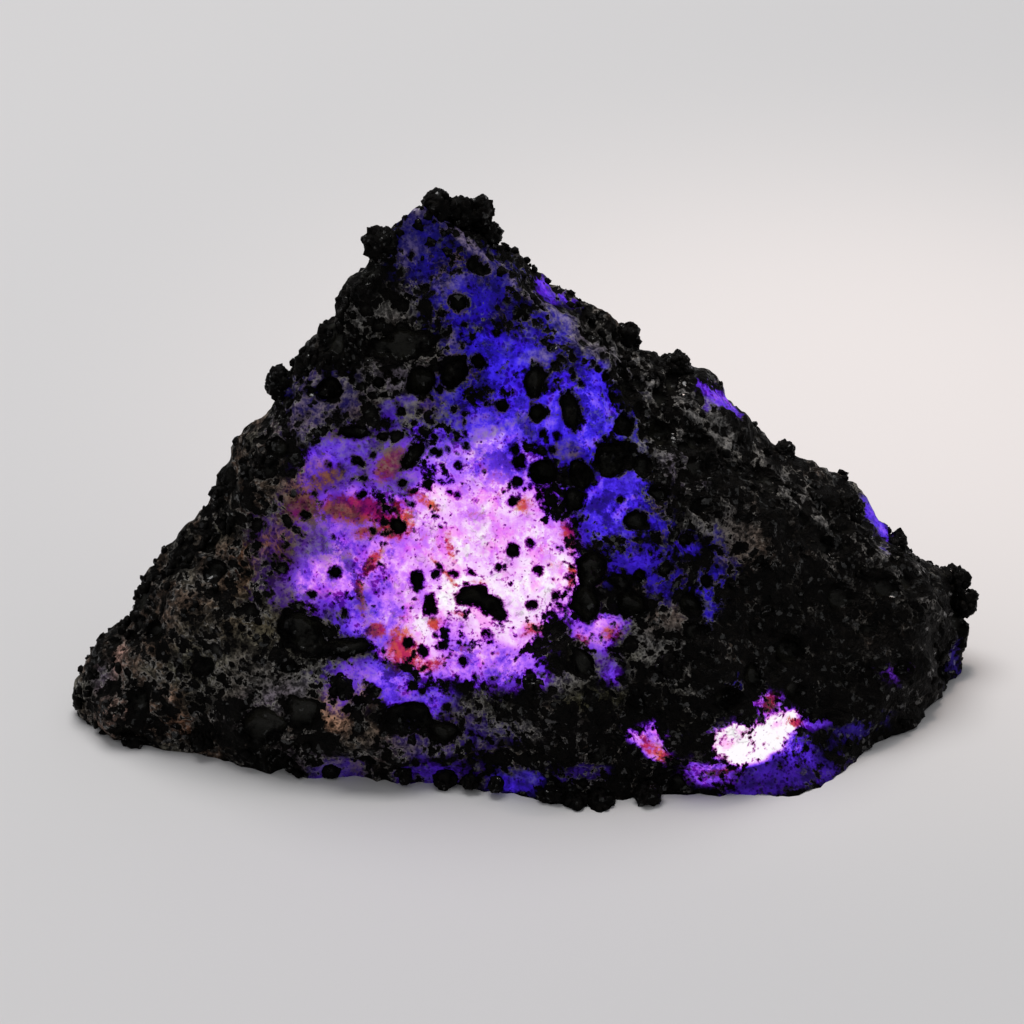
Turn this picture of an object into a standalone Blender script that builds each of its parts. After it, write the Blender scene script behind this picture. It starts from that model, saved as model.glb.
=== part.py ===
"""Rough sapphire: a wedge-shaped lump of corundum under a black, pitted crust.

The stone stands on its long broken base like a small mountain. +X runs along its length, +Y to its
back and +Z up. The origin is on the surface it stands on, under the middle of the stone.

The body is a closed skin round a heart point, held in by the flat faces of a rough crystal.
Gas holes are cut into it, knobs of crust are joined to it, and its base is cut flat last.
"""

import math

import bmesh
import bpy
import numpy as np
from mathutils import Euler, Vector

# Driving dimensions, in metres. Places and sizes below are in millimetres on a stone 62 mm long,
# measured end to end over its knobs.
LENGTH = 0.062
MM = LENGTH / 62.0
CRUST_LUMPS = (0.30, 9.0)  # the crust's large lumps: how far they swell on average, and how far apart they are
CRUST_GRAIN = (0.14, 3.4)  # its small lumps
CROSSED_WAVES = 14  # how many plane waves are summed to make either kind

# Places on the front are given as they look to an eye in front of the stone and above it:
# how far across from the middle of the length, and how far up from the foot of the front face.
EYE_RISE = math.radians(30.0)
EYE_DISTANCE = 400.0
EYE_AIM = np.array([-1.13, 1.22, 15.11])
EYE_RIGHT = np.array([1.0, 0.0, 0.0])
EYE_UP = np.array([0.0, math.sin(EYE_RISE), math.cos(EYE_RISE)])
TO_EYE = np.array([0.0, -math.cos(EYE_RISE), math.sin(EYE_RISE)])
FOOT = np.array([0.0, -13.0, 0.0])
SIGHT_STEP = 0.1
SIGHT_REACH = 40.0  # how far before and behind the aim a line of sight is followed

# The corners of the crystal's flat faces, each as (x, y, z), from the summit down.
HEART = np.array([0.0, 1.0, 11.0])
EDGE_SHARPNESS = 70
LOOK_SHARPNESS = 14
CORNERS = {
    "summit": [(-9.3, 3.0, 36.0), (-7.5, 4.0, 37.5), (-2.0, 6.0, 33.5)],
    "ridge": [(7.0, 8.5, 23.5), (19.5, 9.5, 12.2), (29.0, 8.0, 6.5)],
    "right_end": [(30.6, 6.0, 2.5), (29.6, 4.5, -2.5), (26.1, -2.0, -2.5), (20.2, -9.3, -2.5)],
    "left_edge": [(-13.0, 0.0, 29.0), (-19.7, -1.5, 18.7), (-29.8, 1.5, 4.5), (-30.8, 0.5, 2.0), (-29.4, -0.3, -2.5)],
    "front_foot": [(-27.5, -3.2, -2.5), (-16.2, -6.6, -2.5), (4.2, -12.4, -2.5), (14.0, -11.8, -2.5)],
    "keel": [(2.0, -2.0, 25.0), (14.5, -2.0, 15.8), (13.0, -8.8, 8.0)],
    "bevel": [(1.0, 2.5, 30.6), (5.5, 1.5, 26.5), (13.0, 1.5, 19.7), (21.5, 2.5, 12.3), (28.3, 3.0, 6.5)],
    "belly": [(-16.0, -7.8, 4.0), (-25.0, -5.0, 3.5)],
    "back": [(-4.0, 9.5, 29.0), (8.0, 11.6, 17.0), (22.0, 12.2, 5.0), (-16.0, 8.0, 12.0), (-26.0, 5.0, 2.0)],
    "back_foot": [(-22.0, 8.0, -2.5), (-8.0, 12.0, -2.5), (10.0, 12.7, -2.5), (24.0, 12.2, -2.5)],
}

# Broad swells (+) and hollows (-) of the front: (across, up, height, radius).
SWELLS = [
    (-22.0, 19.0, -1.3, 3.0),
    (-18.0, 27.0, -0.3, 2.6),
    (-28.0, 7.5, 0.5, 2.5),
    (-15.0, 5.5, 0.7, 3.0),
    (-18.0, 12.0, 0.5, 2.5),
    (-9.0, 4.5, 0.5, 2.5),
    (-2.0, 15.5, -0.7, 4.0),
    (-5.0, 29.5, -0.6, 2.5),
    (2.0, 8.0, 0.6, 2.5),
    (7.5, 14.5, -0.5, 2.2),
    (11.0, 22.0, 0.5, 2.2),
    (12.0, 5.0, 0.5, 2.5),
    (16.0, 12.0, -0.7, 3.5),
    (22.0, 9.0, 0.4, 2.5),
    (26.5, 13.0, 0.5, 2.0),
    (21.0, 21.5, 0.9, 3.5),
    (-7.5, 2.0, -1.4, 3.0),
    (-1.5, 1.2, -0.9, 2.0),
    (10.0, 1.2, -1.6, 2.4),
    (17.5, 1.5, 0.7, 2.0),
]

# Open gas holes of the front: (across, up, radius).
GAS_HOLES = [
    (-3.2, 14.3, 1.15),
    (-5.0, 29.6, 1.2),
    (-8.5, 31.3, 1.3),
    (2.9, 26.9, 1.0),
    (0.5, 29.0, 1.0),
    (1.0, 22.9, 0.95),
    (5.8, 23.8, 1.5),
    (3.4, 22.6, 0.9),
    (7.2, 19.6, 0.85),
    (4.1, 16.4, 1.2),
    (3.8, 14.0, 1.0),
    (6.9, 14.0, 1.05),
    (11.0, 14.0, 1.1),
    (11.5, 20.6, 0.9),
    (-15.3, 12.0, 1.6),
    (-15.3, 6.8, 1.3),
    (-18.2, 5.6, 1.4),
    (-21.2, 16.3, 0.95),
    (-8.2, 6.3, 1.6),
    (-5.6, 5.2, 1.0),
    (-7.7, 24.0, 0.9),
    (-11.5, 25.5, 1.0),
    (-13.0, 19.5, 0.9),
    (17.5, 11.0, 1.3),
    (21.0, 14.5, 1.1),
    (13.3, 7.8, 1.2),
    (24.8, 9.8, 1.0),
    (-21.8, 9.8, 1.0),
    (-25.0, 12.3, 0.9),
    (-13.3, 28.3, 0.9),
]
# Gas holes round the back: (x, z, radius) on the face that looks along +Y.
BACK_HOLES = [
    (-19.0, 4.5, 1.1),
    (-11.0, 11.0, 1.5),
    (-6.5, 20.5, 1.2),
    (-2.0, 7.0, 1.3),
    (3.0, 15.0, 1.6),
    (8.5, 6.5, 1.2),
    (14.0, 9.5, 1.4),
    (21.5, 3.5, 1.1),
]
HOLE_ROUGHNESS = 0.12
HOLE_SINK = 0.10  # how far a hole's middle lies under the skin, in radii

# Knobs of crust that stand on the front and on the outline: (across, up, radius).
KNOBS = [
    (-6.0, 40.8, 1.1),
    (-4.5, 40.2, 1.2),
    (-3.2, 40.3, 1.1),
    (-2.8, 38.9, 1.1),
    (-9.9, 38.2, 1.2),
    (-14.7, 30.2, 1.05),
    (-16.6, 28.8, 1.15),
    (-20.6, 21.4, 0.85),
    (-29.0, 9.5, 0.95),
    (-26.3, 4.9, 0.9),
    (-21.8, 5.0, 0.9),
    (-18.5, 4.1, 0.9),
    (-15.4, 3.2, 0.9),
    (-13.2, 2.9, 0.7),
    (-8.3, 2.7, 0.7),
    (-5.6, 2.4, 0.8),
    (-3.9, 2.2, 0.6),
    (-2.2, 2.0, 0.6),
    (1.5, 1.3, 0.9),
    (3.2, 0.8, 0.9),
    (4.8, 0.7, 1.0),
    (8.0, 1.3, 0.95),
    (28.4, 15.6, 1.2),
    (29.2, 14.2, 1.0),
    (21.3, 20.3, 1.3),
    (24.6, 18.0, 1.0),
    (17.0, 24.2, 0.9),
    (10.0, 30.0, 1.1),
    (6.6, 32.0, 0.95),
    (0.3, 8.4, 1.1),
    (-12.3, 8.6, 1.0),
    (9.3, 9.8, 1.0),
]
# Knobs round the back: (x, z, radius) on the face that looks along +Y.
BACK_KNOBS = [
    (-23.0, 2.5, 1.2),
    (-15.0, 15.0, 1.1),
    (-8.0, 4.0, 1.3),
    (-2.5, 26.5, 1.1),
    (4.0, 3.0, 1.2),
    (7.0, 19.5, 1.3),
    (16.0, 4.0, 1.3),
    (19.0, 11.0, 1.1),
    (26.0, 5.0, 1.1),
]
KNOB_ROUGHNESS = 0.22
KNOB_SINK = 0.15
BACK_KNOB_SINK = 0.35

SKIN_SPLITS = 6  # times that the starting ball's faces are split in four
SKIN_PROPORTIONS = (30.0, 13.0, 20.0)
SKIN_KEPT = 0.22  # share of the skin's triangles kept before the holes are cut
REST_KEPT = 0.82  # share of all the triangles kept at the end, when slivers go
SHARP_EDGE = math.radians(30.0)
BASE_BLOCK = (90.0, 50.0, 10.0)
NODE = "rough_sapphire"


def crystal_faces():
    """The outward normals of the hull of the corners, and how far each face lies from the heart."""
    hull = bmesh.new()
    for group in CORNERS.values():
        for corner in group:
            hull.verts.new(corner)
    bmesh.ops.convex_hull(hull, input=hull.verts)
    hull.normal_update()
    normals = np.array([face.normal for face in hull.faces])
    middles = np.array([face.calc_center_median() for face in hull.faces])
    hull.free()
    away = ((middles - HEART) * normals).sum(1)
    normals[away < 0] *= -1
    return normals, np.abs(away)


FACE_NORMALS, FACE_AWAY = crystal_faces()


def bare_crystal(rays):
    """Where rays from the heart leave the flat faces, and the way the surface looks there.

    A ray d leaves a face with normal n, h away, at the distance h / (n . d). The reach is the
    p-norm blend of these distances, (sum of (n . d / h)^p)^(-1/p), so edges are a little round.
    The surface looks along the normals summed by their shares in a much softer blend.
    """
    ways = rays / np.linalg.norm(rays, axis=1, keepdims=True)
    nearness = np.clip(ways @ FACE_NORMALS.T / FACE_AWAY, 0.0, None)
    distance = (nearness**EDGE_SHARPNESS).sum(1) ** (-1.0 / EDGE_SHARPNESS)
    looks = nearness**LOOK_SHARPNESS @ (FACE_NORMALS / FACE_AWAY[:, None])
    looks /= np.linalg.norm(looks, axis=1, keepdims=True)
    return HEART + ways * distance[:, None], looks


def sight_line(across, up):
    """Points in even steps on the line from the eye through a place in the front view."""
    aim_up = (EYE_AIM - FOOT) @ EYE_UP
    target = EYE_AIM + (across - EYE_AIM[0]) * EYE_RIGHT + (up - aim_up) * EYE_UP
    eye = EYE_AIM + EYE_DISTANCE * TO_EYE
    shares = 1.0 + np.arange(-SIGHT_REACH, SIGHT_REACH, SIGHT_STEP) / EYE_DISTANCE
    return eye + shares[:, None] * (target - eye)


def first_met(line, surface):
    """Where a line of points first meets a surface, or where it passes nearest, and the look there."""
    points, looks = surface(line - HEART)
    fullness = np.linalg.norm(points - HEART, axis=1) / np.linalg.norm(line - HEART, axis=1)
    met = fullness >= 1.0
    step = met.argmax() if met.any() else fullness.argmax()
    return line[step], looks[step]


def waves(points, wavelength, seed):
    """Even lumpiness: crossed plane waves summed to a mean square of 1, with seeded headings."""
    dice = np.random.default_rng(seed)
    headings = dice.normal(size=(CROSSED_WAVES, 3))
    headings /= np.linalg.norm(headings, axis=1, keepdims=True)
    phases = dice.uniform(0.0, math.tau, CROSSED_WAVES)
    swings = np.sin(points @ headings.T * (math.tau / wavelength) + phases)
    return swings.sum(1) * math.sqrt(2.0 / CROSSED_WAVES)


def crusted_stone(rays):
    """The bare crystal with its swells, hollows and lumps raised along the way that it looks."""
    points, looks = bare_crystal(rays)
    rise = np.zeros(len(points))
    for seed, (height, spacing) in enumerate((CRUST_LUMPS, CRUST_GRAIN), 1):
        rise += height * waves(points, spacing, seed)
    for across, up, height, radius in SWELLS:
        middle, _ = first_met(sight_line(across, up), bare_crystal)
        rise += height * np.exp(-((points - middle) ** 2).sum(1) / (2.0 * radius**2))
    return points + looks * rise[:, None], looks


def front_place(across, up):
    """The point of the crust seen at a place in the front view, and its look."""
    return first_met(sight_line(across, up), crusted_stone)


def back_place(x, z):
    """The point of the crust met on the way from behind at x and z, and its look."""
    depths = np.arange(SIGHT_REACH / 2.0, 0.0, -SIGHT_STEP)
    line = np.stack([np.full_like(depths, x), depths, np.full_like(depths, z)], axis=1)
    return first_met(line, crusted_stone)


def add_object(name, form, collection):
    """Makes an object in a collection from a bmesh in millimetres."""
    bmesh.ops.scale(form, vec=(MM, MM, MM), verts=form.verts)
    mesh = bpy.data.meshes.new(name)
    form.to_mesh(mesh)
    form.free()
    thing = bpy.data.objects.new(name, mesh)
    collection.objects.link(thing)
    return thing


def rough_ball(name, middle, radius, roughness, seed, collection):
    """A ball with its points pushed in and out and turned at random, kept as a guide for a Boolean."""
    dice = np.random.default_rng(seed)
    ball = bmesh.new()
    bmesh.ops.create_icosphere(ball, subdivisions=2, radius=radius)
    for corner, share in zip(ball.verts, dice.uniform(-roughness, roughness, len(ball.verts))):
        corner.co *= 1.0 + share
    turn = Euler(dice.uniform(0.0, math.tau, 3)).to_matrix()
    bmesh.ops.transform(ball, matrix=turn.to_4x4(), verts=ball.verts)
    bmesh.ops.translate(ball, vec=Vector(middle), verts=ball.verts)
    guide(add_object(name, ball, collection))


def guide(thing):
    """Marks an object as one that only shapes another."""
    thing.hide_render = True
    thing.display_type = "WIRE"


def add_collection(name):
    collection = bpy.data.collections.new(name)
    bpy.context.scene.collection.children.link(collection)
    return collection


def stone_body(collection):
    """The stone's skin, shaped from a ball of fine triangles, with fewer where it is flat."""
    ball = bmesh.new()
    bmesh.ops.create_icosphere(ball, subdivisions=SKIN_SPLITS, radius=1.0)
    rays = np.array([corner.co for corner in ball.verts]) * SKIN_PROPORTIONS
    for corner, place in zip(ball.verts, crusted_stone(rays)[0]):
        corner.co = place
    body = add_object(NODE, ball, collection)
    body.data.shade_smooth()
    body.data.set_sharp_from_angle(angle=SHARP_EDGE)
    coarser = body.modifiers.new("fewer faces where flat", "DECIMATE")
    coarser.ratio = SKIN_KEPT
    return body


def gas_holes(collection):
    """Balls to cut out, each a little under the skin, so that its rim is sharp."""
    places = [(front_place(a, u), radius) for a, u, radius in GAS_HOLES]
    places += [(back_place(x, z), radius) for x, z, radius in BACK_HOLES]
    for number, ((point, look), radius) in enumerate(places):
        middle = point - look * radius * HOLE_SINK
        rough_ball(f"gas_hole_{number:02d}", middle, radius, HOLE_ROUGHNESS, 100 + number, collection)


def crust_knobs(collection):
    """Knobs a little more than half sunk in the skin, or set where they stand out past the outline."""
    places = [(front_place(a, u), radius, KNOB_SINK) for a, u, radius in KNOBS]
    places += [(back_place(x, z), radius, BACK_KNOB_SINK) for x, z, radius in BACK_KNOBS]
    for number, ((point, look), radius, sink) in enumerate(places):
        middle = point - look * radius * sink
        rough_ball(f"crust_knob_{number:02d}", middle, radius, KNOB_ROUGHNESS, 300 + number, collection)


def base_block(collection):
    """A block whose top is the surface that the stone stands on."""
    block = bmesh.new()
    bmesh.ops.create_cube(block, size=1.0)
    bmesh.ops.scale(block, vec=BASE_BLOCK, verts=block.verts)
    bmesh.ops.translate(block, vec=(0.0, 0.0, -BASE_BLOCK[2] / 2.0), verts=block.verts)
    thing = add_object("base_block", block, collection)
    guide(thing)
    return thing


def add_boolean(thing, name, operation, collection=None, operand=None):
    cut = thing.modifiers.new(name, "BOOLEAN")
    cut.operation = operation
    if collection:
        cut.operand_type = "COLLECTION"
        cut.collection = collection
    else:
        cut.object = operand


def crust_material():
    """Black glassy crust with a grey-brown bloom."""
    material = bpy.data.materials.new("black_crust")
    material.use_nodes = True
    shader = material.node_tree.nodes["Principled BSDF"]
    shader.inputs["Base Color"].default_value = (0.022, 0.019, 0.021, 1.0)
    shader.inputs["Roughness"].default_value = 0.38
    shader.inputs["Metallic"].default_value = 0.0
    return material


for old in list(bpy.data.objects):
    bpy.data.objects.remove(old, do_unlink=True)

stone_group = add_collection(NODE)
hole_group = add_collection("gas_holes")
knob_group = add_collection("crust_knobs")
block_group = add_collection("base_cut")

stone = stone_body(stone_group)
stone.data.materials.append(crust_material())
gas_holes(hole_group)
crust_knobs(knob_group)
add_boolean(stone, "gas holes", "DIFFERENCE", collection=hole_group)
add_boolean(stone, "crust knobs", "UNION", collection=knob_group)
add_boolean(stone, "flat base", "DIFFERENCE", operand=base_block(block_group))
cleaner = stone.modifiers.new("no slivers", "DECIMATE")
cleaner.ratio = REST_KEPT
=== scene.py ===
import itertools
import math

import bmesh
import bpy
import numpy as np
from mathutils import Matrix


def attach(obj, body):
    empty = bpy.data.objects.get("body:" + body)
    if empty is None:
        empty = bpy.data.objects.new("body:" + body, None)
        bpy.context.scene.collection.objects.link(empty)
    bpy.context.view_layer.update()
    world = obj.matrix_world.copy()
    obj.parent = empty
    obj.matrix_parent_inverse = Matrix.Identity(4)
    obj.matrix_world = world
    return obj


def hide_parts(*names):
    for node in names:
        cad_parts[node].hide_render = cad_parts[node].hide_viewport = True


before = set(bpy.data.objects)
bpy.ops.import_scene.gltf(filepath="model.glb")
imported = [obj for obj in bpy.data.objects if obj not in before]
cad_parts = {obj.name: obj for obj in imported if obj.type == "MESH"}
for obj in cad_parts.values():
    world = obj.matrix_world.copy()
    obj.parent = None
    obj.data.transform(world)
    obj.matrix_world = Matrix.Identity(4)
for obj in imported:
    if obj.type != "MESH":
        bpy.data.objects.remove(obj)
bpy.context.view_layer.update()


# The eye: a long lens 400 mm off, in front of the stone and 30 degrees above the table.
# Places on the stone's front are given as this eye sees them, in millimetres: how far across from
# the middle of the length, and how far up from the foot of the front face.
MM = 0.001
EYE_RISE = math.radians(30.0)
EYE_DISTANCE = 400.0
EYE_AIM = np.array([-1.13, 1.22, 15.11])
FOOT = np.array([0.0, -13.0, 0.0])
FRAME_WIDTH = 68.27
SIGHT_STEP = 0.1
SIGHT_REACH = 40.0
EYE_RIGHT = np.array([1.0, 0.0, 0.0])
EYE_UP = np.array([0.0, math.sin(EYE_RISE), math.cos(EYE_RISE)])
TO_EYE = np.array([0.0, -math.cos(EYE_RISE), math.sin(EYE_RISE)])


def add_eye():
    lens = bpy.data.cameras.new("eye")
    lens.sensor_width = 36.0
    lens.lens = lens.sensor_width * EYE_DISTANCE / FRAME_WIDTH
    eye = bpy.data.objects.new("eye", lens)
    eye.location = (EYE_AIM + EYE_DISTANCE * TO_EYE) * MM
    eye.rotation_euler = (math.radians(90.0) - EYE_RISE, 0.0, 0.0)
    bpy.context.scene.collection.objects.link(eye)
    bpy.context.scene.camera = eye


def seen_at(points):
    """Where the eye sees points: their offset from the aim, scaled by distance over depth."""
    offset = points - EYE_AIM
    scale = EYE_DISTANCE / (EYE_DISTANCE - offset @ TO_EYE)
    across = EYE_AIM[0] + (offset @ EYE_RIGHT) * scale
    up = (EYE_AIM - FOOT) @ EYE_UP + (offset @ EYE_UP) * scale
    return across, up


def sight_line(across, up):
    """Points on the line from the eye through the place seen at (across, up), a step apart at the aim."""
    aim_up = (EYE_AIM - FOOT) @ EYE_UP
    target = EYE_AIM + (across - EYE_AIM[0]) * EYE_RIGHT + (up - aim_up) * EYE_UP
    eye = EYE_AIM + EYE_DISTANCE * TO_EYE
    reach = SIGHT_REACH / EYE_DISTANCE
    shares = np.arange(1.0 - reach, 1.0 + reach, SIGHT_STEP / EYE_DISTANCE)[:, None]
    return eye + shares * (target - eye)


add_eye()


# The stone: a lump of corundum, flat-faced where the crystal grew, broken flat underneath.
# A black glassy crust full of gas holes is fused to it, thick on the right face and torn open
# over the middle, where a torch behind the stone lights the sapphire from inside.
HEART = np.array([0.0, 1.0, 11.0])
EDGE_SHARPNESS = 70
LOOK_SHARPNESS = 14
# The corners of the crystal's flat faces: (x, y, z).
CORNERS = {
    "summit": [(-9.3, 3, 36), (-7.5, 4, 37.5), (-2, 6, 33.5)],
    "ridge": [(7, 8.5, 23.5), (19.5, 9.5, 12.2), (29, 8, 6.5)],
    "right_end": [(30.6, 6, 2.5), (29.6, 4.5, -2.5), (26.1, -2, -2.5), (20.2, -9.3, -2.5)],
    "left_edge": [(-13, 0, 29), (-19.7, -1.5, 18.7), (-29.8, 1.5, 4.5), (-30.8, 0.5, 2),
                  (-29.4, -0.3, -2.5)],
    "front_foot": [(-27.5, -3.2, -2.5), (-16.2, -6.6, -2.5), (4.2, -12.4, -2.5), (14, -11.8, -2.5)],
    "keel": [(2, -2, 25), (14.5, -2, 15.8), (13, -8.8, 8)],
    "bevel": [(1, 2.5, 30.6), (5.5, 1.5, 26.5), (13, 1.5, 19.7), (21.5, 2.5, 12.3), (28.3, 3, 6.5)],
    "belly": [(-16, -7.8, 4), (-25, -5, 3.5)],
    "back": [(-4, 9.5, 29), (8, 11.6, 17), (22, 12.2, 5), (-16, 8, 12),
             (-26, 5, 2)],
    "back_foot": [(-22, 8, -2.5), (-8, 12, -2.5), (10, 12.7, -2.5), (24, 12.2, -2.5)],
}
# Lumps all over: how far they swell on average, and how far apart they are.
CRUST_LUMPS = (0.30, 9.0)
CRUST_GRAIN = (0.14, 3.4)
CROSSED_WAVES = 14
# Broad swells (+) and hollows (-) of the front: (across, up, height, radius).
SWELLS = [
    (-22, 19, -1.3, 3),
    (-18, 27, -0.3, 2.6),
    (-28, 7.5, 0.5, 2.5),
    (-15, 5.5, 0.7, 3),
    (-18, 12, 0.5, 2.5),
    (-9, 4.5, 0.5, 2.5),
    (-2, 15.5, -0.7, 4),
    (-5, 29.5, -0.6, 2.5),
    (2, 8, 0.6, 2.5),
    (7.5, 14.5, -0.5, 2.2),
    (11, 22, 0.5, 2.2),
    (12, 5, 0.5, 2.5),
    (16, 12, -0.7, 3.5),
    (22, 9, 0.4, 2.5),
    (26.5, 13, 0.5, 2),
    (21, 21.5, 0.9, 3.5),
    (-7.5, 2, -1.4, 3),
    (-1.5, 1.2, -0.9, 2),
    (10, 1.2, -1.6, 2.4),
    (17.5, 1.5, 0.7, 2),
]


def crystal_faces():
    """The outward normals of the hull of the corners, and how far each face lies from the heart."""
    hull = bmesh.new()
    for group in CORNERS.values():
        for corner in group:
            hull.verts.new(corner)
    bmesh.ops.convex_hull(hull, input=hull.verts)
    hull.normal_update()
    normals = np.array([face.normal for face in hull.faces])
    middles = np.array([face.calc_center_median() for face in hull.faces])
    hull.free()
    away = ((middles - HEART) * normals).sum(1)
    normals[away < 0] *= -1
    return normals, np.abs(away)


FACE_NORMALS, FACE_AWAY = crystal_faces()


def bare_crystal(rays):
    """Where rays from the heart leave the flat faces, and the way the surface looks there.

    A ray d leaves a face with normal n, h away, at the distance h / (n . d). The reach is the
    p-norm blend of these distances, (sum of (n . d / h)^p)^(-1/p), so edges are a little round.
    The surface looks along the normals summed by their shares in a much softer blend.
    """
    ways = rays / np.linalg.norm(rays, axis=1, keepdims=True)
    nearness = np.clip(ways @ FACE_NORMALS.T / FACE_AWAY, 0.0, None)
    distance = (nearness**EDGE_SHARPNESS).sum(1) ** (-1.0 / EDGE_SHARPNESS)
    looks = nearness**LOOK_SHARPNESS @ (FACE_NORMALS / FACE_AWAY[:, None])
    looks /= np.linalg.norm(looks, axis=1, keepdims=True)
    return HEART + ways * distance[:, None], looks


def first_met(line, surface):
    """Where a line of points first meets a surface, or where it passes nearest, and the look there."""
    points, looks = surface(line - HEART)
    fullness = np.linalg.norm(points - HEART, axis=1) / np.linalg.norm(line - HEART, axis=1)
    met = fullness >= 1.0
    step = met.argmax() if met.any() else fullness.argmax()
    return line[step], looks[step]


def waves(points, wavelength, seed):
    """Even lumpiness: crossed plane waves summed to a mean square of 1, with seeded headings."""
    dice = np.random.default_rng(seed)
    headings = dice.normal(size=(CROSSED_WAVES, 3))
    headings /= np.linalg.norm(headings, axis=1, keepdims=True)
    phases = dice.uniform(0.0, math.tau, CROSSED_WAVES)
    heights = np.sin(points @ headings.T * (math.tau / wavelength) + phases).sum(1)
    return heights * math.sqrt(2.0 / CROSSED_WAVES)


def lumpy_stone(rays):
    """The bare crystal with its broad swells, hollows and lumps raised along the way that it looks."""
    points, looks = bare_crystal(rays)
    rise = CRUST_LUMPS[0] * waves(points, CRUST_LUMPS[1], seed=1)
    rise += CRUST_GRAIN[0] * waves(points, CRUST_GRAIN[1], seed=2)
    for across, up, height, radius in SWELLS:
        middle, _ = first_met(sight_line(across, up), bare_crystal)
        rise += height * np.exp(-((points - middle) ** 2).sum(1) / (2.0 * radius**2))
    return points + looks * rise[:, None], looks


def block_skin(bricks):
    """The skin of a block of bricks without its underside: shares (0 to 1) of its corners along x, y
    and z, its four-cornered faces looking out, and the ring of corners round its foot.

    Each side is a lattice of whole steps. Corners that sides share get the same number.
    """
    sizes = np.array(bricks)
    strides = np.array([(sizes[1] + 1) * (sizes[2] + 1), sizes[2] + 1, 1])
    sides = []
    for axis, end in ((0, 0), (0, 1), (1, 0), (1, 1), (2, 1)):
        one, two = (axis + 1) % 3, (axis + 2) % 3
        steps = np.zeros((sizes[one] + 1, sizes[two] + 1, 3), int)
        steps[..., axis] = end * sizes[axis]
        steps[..., one] = np.arange(sizes[one] + 1)[:, None]
        steps[..., two] = np.arange(sizes[two] + 1)
        names = steps @ strides
        side = np.stack([names[:-1, :-1], names[1:, :-1], names[1:, 1:], names[:-1, 1:]], axis=-1)
        side = side.reshape(-1, 4)
        sides.append(side if end else side[:, ::-1])
    names, faces = np.unique(np.concatenate(sides), return_inverse=True)
    faces = faces.reshape(-1, 4)
    steps = [names // strides[0], names // strides[1] % (sizes[1] + 1), names % (sizes[2] + 1)]
    shares = np.stack(steps, axis=1)
    across, deep = np.arange(sizes[0]), np.arange(sizes[1])
    back = np.stack([across, np.full_like(across, sizes[1])], axis=1)
    right = np.stack([np.full_like(deep, sizes[0]), sizes[1] - deep], axis=1)
    front = np.stack([sizes[0] - across, np.zeros_like(across)], axis=1)
    left = np.stack([np.zeros_like(deep), deep], axis=1)
    walk = np.concatenate([left, back, right, front])
    ring = np.searchsorted(names, walk @ strides[:2])
    return shares / sizes, faces, ring


def block_rays(shares):
    """Rays from the heart through a block cut roughly to the stone: wide and deep below, narrow above.

    It reaches from 12.9 below the heart to 26 above it. Half its length falls from 31 at the foot to 17 at
    the top, which is 3 further left, 2 further forward and 0.7 as deep. With a = -1 at the left end and 1
    at the right, its half depth is 2.5 + 10.5 (1 - |a|^p), where p is 2.2 at the slim left end and 4 at
    the blunt right one, and the middle of its foot swings back by 2.65a + 1.65a^2.
    """
    along, deep, height = 2.0 * shares[:, 0] - 1.0, 2.0 * shares[:, 1] - 1.0, shares[:, 2]
    bluntness = np.where(along < 0.0, 2.2, 4.0)
    half_depth = (2.5 + 10.5 * (1.0 - np.abs(along) ** bluntness)) * (1.0 - 0.3 * height)
    middle = (2.65 * along + 1.65 * along**2) * (1.0 - height) - 2.0 * height
    x = along * (31.0 - 14.0 * height) - 3.0 * height
    return np.stack([x, middle + deep * half_depth, -12.9 + 38.9 * height], axis=1)


def scatter(cells, seed):
    """Three numbers from 0 to 1 for each cell of whole steps: its steps multiplied by large odd
    numbers, folded together and mixed, the same on every run."""
    mixed = (cells[..., 0] * 73856093) ^ (cells[..., 1] * 19349663) ^ (cells[..., 2] * 83492791)
    mixed = (mixed ^ (seed * 2654435761)) & 0xFFFFFFFF
    numbers = []
    for _ in range(3):
        mixed = ((mixed ^ (mixed >> 15)) * 2246822519) & 0xFFFFFFFF
        mixed = ((mixed ^ (mixed >> 13)) * 3266489917) & 0xFFFFFFFF
        numbers.append((mixed >> 8) / 0xFFFFFF)
    return np.stack(numbers, axis=-1)


def unevenness(points, size, seed):
    """Smooth noise from about -1 to 1: each corner of a lattice has a seeded slope, and the eight
    slopes round a point are blended by 6t^5 - 15t^4 + 10t^3."""
    grid = points / size
    cell = np.floor(grid).astype(np.int64)
    part = grid - cell
    fade = part**3 * (part * (part * 6.0 - 15.0) + 10.0)
    total = np.zeros(len(points))
    for corner in itertools.product((0, 1), repeat=3):
        slope = 2.0 * scatter(cell + corner, seed) - 1.0
        weight = np.where(corner, fade, 1.0 - fade).prod(axis=1)
        total += weight * ((part - corner) * slope).sum(1)
    return 1.7 * total


def roughness_of(points, size, layers, seed):
    """Noise on top of noise: each layer is half as wide and 0.55 as strong as the one before."""
    return sum(0.55**n * unevenness(points, size / 2.0**n, seed + n) for n in range(layers))


def nearest_bubble(points, spacing, seed):
    """How far points are from the nearest bubble, of one at a seeded place in each cell of a lattice."""
    grid = points / spacing
    cell = np.floor(grid).astype(np.int64)
    nearest = np.full(len(points), np.inf)
    for step in itertools.product((-1, 0, 1), repeat=3):
        bubble = cell + step + scatter(cell + step, seed)
        nearest = np.minimum(nearest, np.linalg.norm(grid - bubble, axis=1))
    return nearest * spacing


def ease(low, high, values):
    """0 below low, 1 above high, and 3t^2 - 2t^3 between."""
    share = np.clip((values - low) / (high - low), 0.0, 1.0)
    return share * share * (3.0 - 2.0 * share)


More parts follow.
